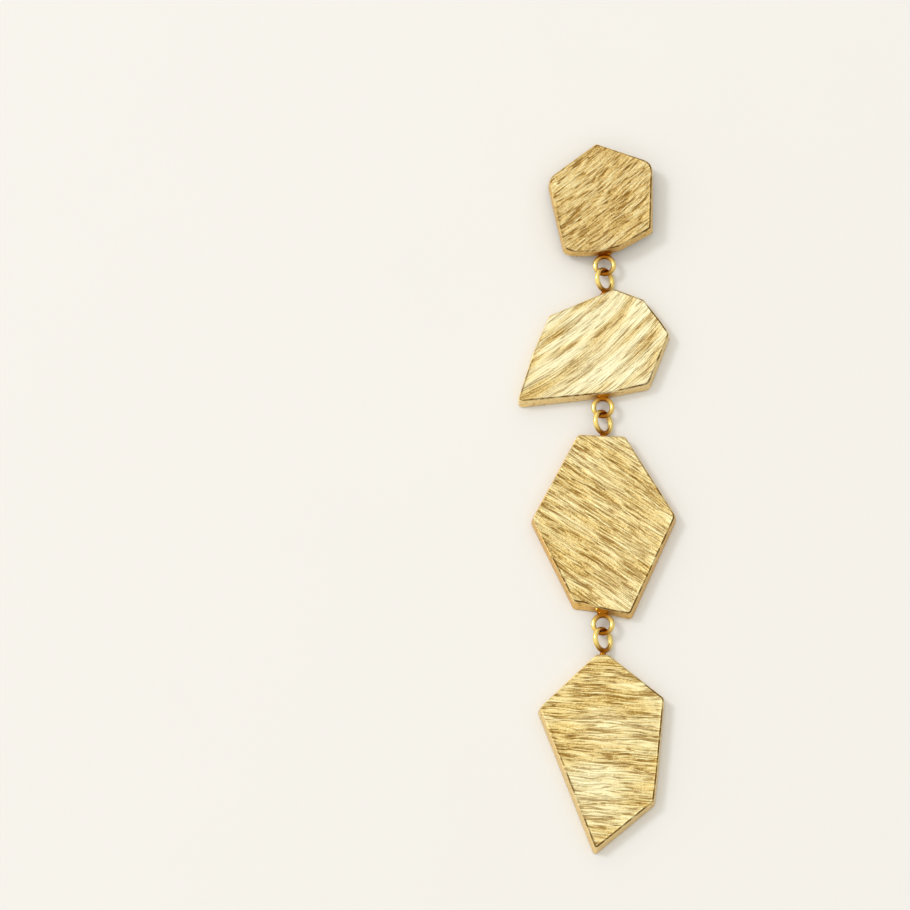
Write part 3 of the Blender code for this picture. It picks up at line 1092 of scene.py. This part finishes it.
def add_solder(mesh, wall, ring_edge, middle, half_width, half_height):
    """A flared bed of solder from inside the wall to under the wire."""
    away = 1 if ring_edge > wall else -1
    start = wall - away * SOLDER_SUNK
    total = abs(ring_edge - wall) + SOLDER_SUNK + half_height * SOLDER_UNDER
    height = Vector((0, 0, half_height))
    loops = []
    for step in range(SOLDER_STEPS + 1):
        along = total * step / SOLDER_STEPS
        out = max(0.0, along - SOLDER_SUNK) / (total - SOLDER_SUNK)
        flare = SOLDER_NECK + (1 - SOLDER_NECK) * (1 - out) ** 2
        centre = Vector((middle.x, start + away * along, middle.z - SOLDER_DROP))
        width = Vector((half_width * flare, 0, 0))
        loops.append(add_loop(mesh, centre, width, height, SOLDER_SIDES))
    join_loops(mesh, loops)


class EARRING_OT_links(bpy.types.Operator):
    """Build the soldered ring links between the plates"""

    bl_idname = "earring.links"
    bl_label = "Build Ring Links"

    def execute(self, context):
        settings = context.scene.earring_links
        material = wire_metal(settings)
        tree = shared_group("wire ring", ring_tree)
        for upper_node, lower_node in zip(CHAIN, CHAIN[1:]):
            self.build(settings, tree, material, upper_node, upper=False)
            self.build(settings, tree, material, lower_node, upper=True)
        return {"FINISHED"}

    def build(self, settings, tree, material, node, upper):
        """One ring with its solder: a flat one below its plate, or a turned one above it."""
        name = f"{node}_{'upper' if upper else 'lower'}_ring"
        radius = settings.turned_radius if upper else settings.front_radius
        roll = TURNED_RING_ROLL if upper else 0.0
        away = 1 if upper else -1
        middle = ring_end(node, upper) - Vector((0, away * (radius + WORN_RADIUS), 0))
        ring = place_object(name, bpy.data.meshes.new(name))
        sizes = {
            "Radius": radius,
            "Wire Radius": settings.wire_radius,
            "Worn Radius": WORN_RADIUS,
            "Worn Side": float(away),
            "Material": material,
        }
        add_geometry_nodes(ring, tree, sizes)
        ring.matrix_world = Matrix.Translation(middle) @ Euler((0, roll, 0)).to_matrix().to_4x4()
        ring = as_plain_mesh(ring)
        mesh = bmesh.new()
        mesh.from_mesh(ring.data)
        bmesh.ops.remove_doubles(mesh, verts=mesh.verts, dist=WELD_DISTANCE)
        wall = wall_along(node, middle.x, middle.z, upper)
        inner_edge = middle.y - away * (radius + settings.wire_radius)
        half_width = settings.solder_width * (TURNED_SOLDER_SHARE if upper else 1.0)
        add_solder(mesh, wall, inner_edge, middle, half_width, settings.wire_radius)
        mesh.to_mesh(ring.data)
        mesh.free()
        add_remesh(ring, settings.step)
        smooth = ring.modifiers.new("solder fillet", "SMOOTH")
        smooth.factor = FILLET_FACTOR
        smooth.iterations = FILLET_STEPS
        ring = as_plain_mesh(ring)
        store_joint_shade(ring)
        finish_piece(ring, node, material)


def filled_outline(name, splines, thickness, easing):
    """A flat piece with eased edges from closed outlines in its own XY plane."""
    curve = bpy.data.curves.new(name, "CURVE")
    curve.dimensions = "2D"
    curve.fill_mode = "BOTH"
    curve.extrude = thickness / 2 - easing
    curve.bevel_depth = easing
    curve.bevel_resolution = 2
    curve.offset = -easing
    for points in splines:
        spline = curve.splines.new("POLY")
        spline.points.add(len(points) - 1)
        for point, (x, y) in zip(spline.points, points):
            point.co = (x, y, 0, 1)
        spline.use_cyclic_u = True
    return place_object(name, curve)


def arc(centre, radius, start, end, steps):
    turns = [start + (end - start) * step / steps for step in range(steps + 1)]
    return [
        (centre[0] + radius * math.cos(turn), centre[1] + radius * math.sin(turn))
        for turn in turns
    ]


def as_welded_mesh(obj):
    """A filled outline as one closed mesh with sharp edges."""
    obj = as_plain_mesh(obj)
    mesh = bmesh.new()
    mesh.from_mesh(obj.data)
    bmesh.ops.remove_doubles(mesh, verts=mesh.verts, dist=WELD_DISTANCE)
    bmesh.ops.recalc_face_normals(mesh, faces=mesh.faces)
    mesh.to_mesh(obj.data)
    mesh.free()
    obj.data.set_sharp_from_angle(angle=SHARP_ANGLE)
    return obj


def turned_rod(name, profile, middle):
    """A rod along X turned from its profile of places along it and radii."""
    mesh = bmesh.new()
    loops = []
    for along, radius in profile:
        centre = middle + Vector((along, 0, 0))
        first = Vector((0, radius, 0))
        second = Vector((0, 0, radius))
        loops.append(add_loop(mesh, centre, first, second, ROD_SIDES))
    join_loops(mesh, loops)
    made = mesh_object(name, mesh)
    made.data.set_sharp_from_angle(angle=SHARP_ANGLE)
    return made


class EARRING_OT_clip(bpy.types.Operator):
    """Build the closed flat clip and the lugs that hold its pin"""

    bl_idname = "earring.clip"
    bl_label = "Build Ear Clip"

    def execute(self, context):
        settings = context.scene.earring_clip
        material = wire_metal(context.scene.earring_links)
        low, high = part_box("ear_clip")
        hinge = Vector(((low.x + high.x) / 2, low.y + KNUCKLE_RADIUS, high.z - KNUCKLE_RADIUS))
        self.build_leaf(settings, material, hinge, low, high)
        self.build_pin(settings.easing, material, hinge)
        self.build_lugs(settings.easing, material, hinge)
        return {"FINISHED"}

    def build_leaf(self, settings, material, hinge, low, high):
        pad = CLIP_PAD_WIDTH / 2
        root = CLIP_ROOT_WIDTH / 2
        length = high.y - hinge.y
        outline = [
            (-root, 0.0),
            (root, 0.0),
            (pad, length - 2 * pad),
            *arc((0, length - pad), pad, 0, math.pi, PAD_STEPS),
            (-pad, length - 2 * pad),
        ]
        leaf = filled_outline("ear_clip_leaf", [outline], settings.thickness, settings.easing)
        leaf.location = (hinge.x, hinge.y, low.z + LEAF_LIFT + settings.thickness / 2)
        finish_piece(as_welded_mesh(leaf), "ear_clip", material)

    def build_pin(self, ease, material, hinge):
        root = CLIP_ROOT_WIDTH / 2
        half_pin = root + CLIP_CLEARANCE + LUG_WIDTH
        half = (
            (half_pin, PIN_RADIUS - ease),
            (half_pin - ease, PIN_RADIUS),
            (root, PIN_RADIUS),
            (root, KNUCKLE_RADIUS - ease),
            (root - ease, KNUCKLE_RADIUS),
        )
        profile = [(-along, radius) for along, radius in half] + list(reversed(half))
        pin = turned_rod("ear_clip_pin", profile, hinge)
        finish_piece(pin, "ear_clip", material)

    def build_lugs(self, ease, material, hinge):
        top = node_front("top_plate") - PLATE_THICKNESS + LUG_SINK - hinge.z
        side = [
            (-LUG_RADIUS, top),
            *arc((0, 0), LUG_RADIUS, math.pi, FULL_TURN, LUG_STEPS),
            (LUG_RADIUS, top),
        ]
        last = HOLE_SIDES - 1
        hole = arc((0, 0), PIN_HOLE_RADIUS, 0, FULL_TURN * last / HOLE_SIDES, last)
        offset = CLIP_ROOT_WIDTH / 2 + CLIP_CLEARANCE + LUG_WIDTH / 2
        upright = Matrix(((0, 0, 1, 0), (1, 0, 0, 0), (0, 1, 0, 0), (0, 0, 0, 1)))
        for direction, name in ((-1, "left"), (1, "right")):
            lug = filled_outline(f"top_plate_{name}_lug", [side, hole], LUG_WIDTH, ease / 2)
            place = Matrix.Translation(hinge + Vector((direction * offset, 0, 0)))
            lug.matrix_world = place @ upright
            finish_piece(as_welded_mesh(lug), "top_plate", material)


# Stage


def floor_material(settings):
    material, tree, shader = new_material("pale floor")
    mottle = noise(object_place(tree), scale=FLOOR_MOTTLE)
    dark = opaque(settings.floor_colour, FLOOR_DARK)
    colour = mix_colours(mottle, dark, opaque(settings.floor_colour))
    shader["Roughness"].default_value = FLOOR_ROUGHNESS
    shader["Specular IOR Level"].default_value = FLOOR_SHINE
    connect(tree, shader, {"Base Color": colour})
    return material


def sky_world(settings):
    """Bright above, darker low down at the right and front, and plain pale to the camera itself."""
    world = bpy.data.worlds.new("studio")
    world.use_nodes = True
    tree = world.node_tree
    tree.nodes.clear()
    direction = new_value(tree, "ShaderNodeTexCoord", output="Generated")
    right = part(direction, 0)
    low_down = part(direction, 2).ramp(LOW_SKY)
    shaded = low_down * (right - part(direction, 1)).ramp(RIGHT_FRONT)
    strength = right.ramp(*SKY_SIDES) * shaded.line(SHADE, 1.0) * settings.sky
    kind = "ShaderNodeBackground"
    lit = new_value(tree, kind, {"Color": SKY_COLOUR, "Strength": strength})
    seen = new_value(tree, kind, {"Color": SEEN_COLOUR, "Strength": 1.0})
    eye = new_value(tree, "ShaderNodeLightPath", output="Is Camera Ray")
    mixed = new_value(tree, "ShaderNodeMixShader", {0: eye, 1: lit, 2: seen})
    add_node(tree, "ShaderNodeOutputWorld", {"Surface": mixed})
    bpy.context.scene.world = world


class EARRING_OT_stage(bpy.types.Operator):
    """Set up the floor, the studio light and the camera"""

    bl_idname = "earring.stage"
    bl_label = "Build Stage"

    def execute(self, context):
        settings = context.scene.earring_stage
        bpy.ops.mesh.primitive_plane_add(size=FLOOR_SIDE)
        floor = context.object
        floor.name = "floor"
        floor.data.materials.append(floor_material(settings))
        sky_world(settings)
        light = bpy.data.lights.new("key", "AREA")
        light.shape = "DISK"
        light.size = KEY_SIDE
        light.energy = settings.key_power
        light.color = KEY_COLOUR
        key = place_object("key", light)
        key.location = KEY_DIRECTION.normalized() * KEY_DISTANCE
        key.rotation_euler = KEY_DIRECTION.to_track_quat("Z", "Y").to_euler()
        lens = bpy.data.cameras.new("camera")
        lens.sensor_width = SENSOR
        lens.lens = SENSOR * CAMERA_DISTANCE / (PIXEL * PHOTO_SIDE)
        lens.clip_start = 0.01
        lens.clip_end = 20.0
        camera = place_object("camera", lens)
        back = Vector((0, -math.cos(CAMERA_ELEVATION), math.sin(CAMERA_ELEVATION)))
        camera.location = CAMERA_AIM + back * CAMERA_DISTANCE
        camera.rotation_euler = (math.pi / 2 - CAMERA_ELEVATION, 0, 0)
        context.scene.camera = camera
        context.scene.view_settings.view_transform = "Standard"
        return {"FINISHED"}


class EARRING_PT_panel(bpy.types.Panel):
    """Sizes, colours and steps of the earring"""

    bl_label = "Drop Earring"
    bl_idname = "EARRING_PT_panel"
    bl_space_type = "VIEW_3D"
    bl_region_type = "UI"
    bl_category = "Earring"

    def draw(self, context):
        layout = self.layout
        for group, (settings_class, operator) in GROUPS.items():
            box = layout.box()
            for name in settings_class.__annotations__:
                box.prop(getattr(context.scene, group), name)
            box.operator(operator.bl_idname)


# The settings and the operator of each group of pieces
GROUPS = {
    "earring_plates": (PlateSettings, EARRING_OT_plates),
    "earring_links": (LinkSettings, EARRING_OT_links),
    "earring_clip": (ClipSettings, EARRING_OT_clip),
    "earring_stage": (StageSettings, EARRING_OT_stage),
}
CLASSES = (*(cls for pair in GROUPS.values() for cls in pair), EARRING_PT_panel)


def register():
    for cls in CLASSES:
        bpy.utils.register_class(cls)
    for group, (settings_class, operator) in GROUPS.items():
        setattr(bpy.types.Scene, group, bpy.props.PointerProperty(type=settings_class))


def unregister():
    for group in GROUPS:
        delattr(bpy.types.Scene, group)
    for cls in reversed(CLASSES):
        bpy.utils.unregister_class(cls)


def main():
    register()
    bpy.ops.earring.stage()
    bpy.ops.earring.plates()
    bpy.ops.earring.links()
    bpy.ops.earring.clip()


if __name__ == "__main__":
    main()
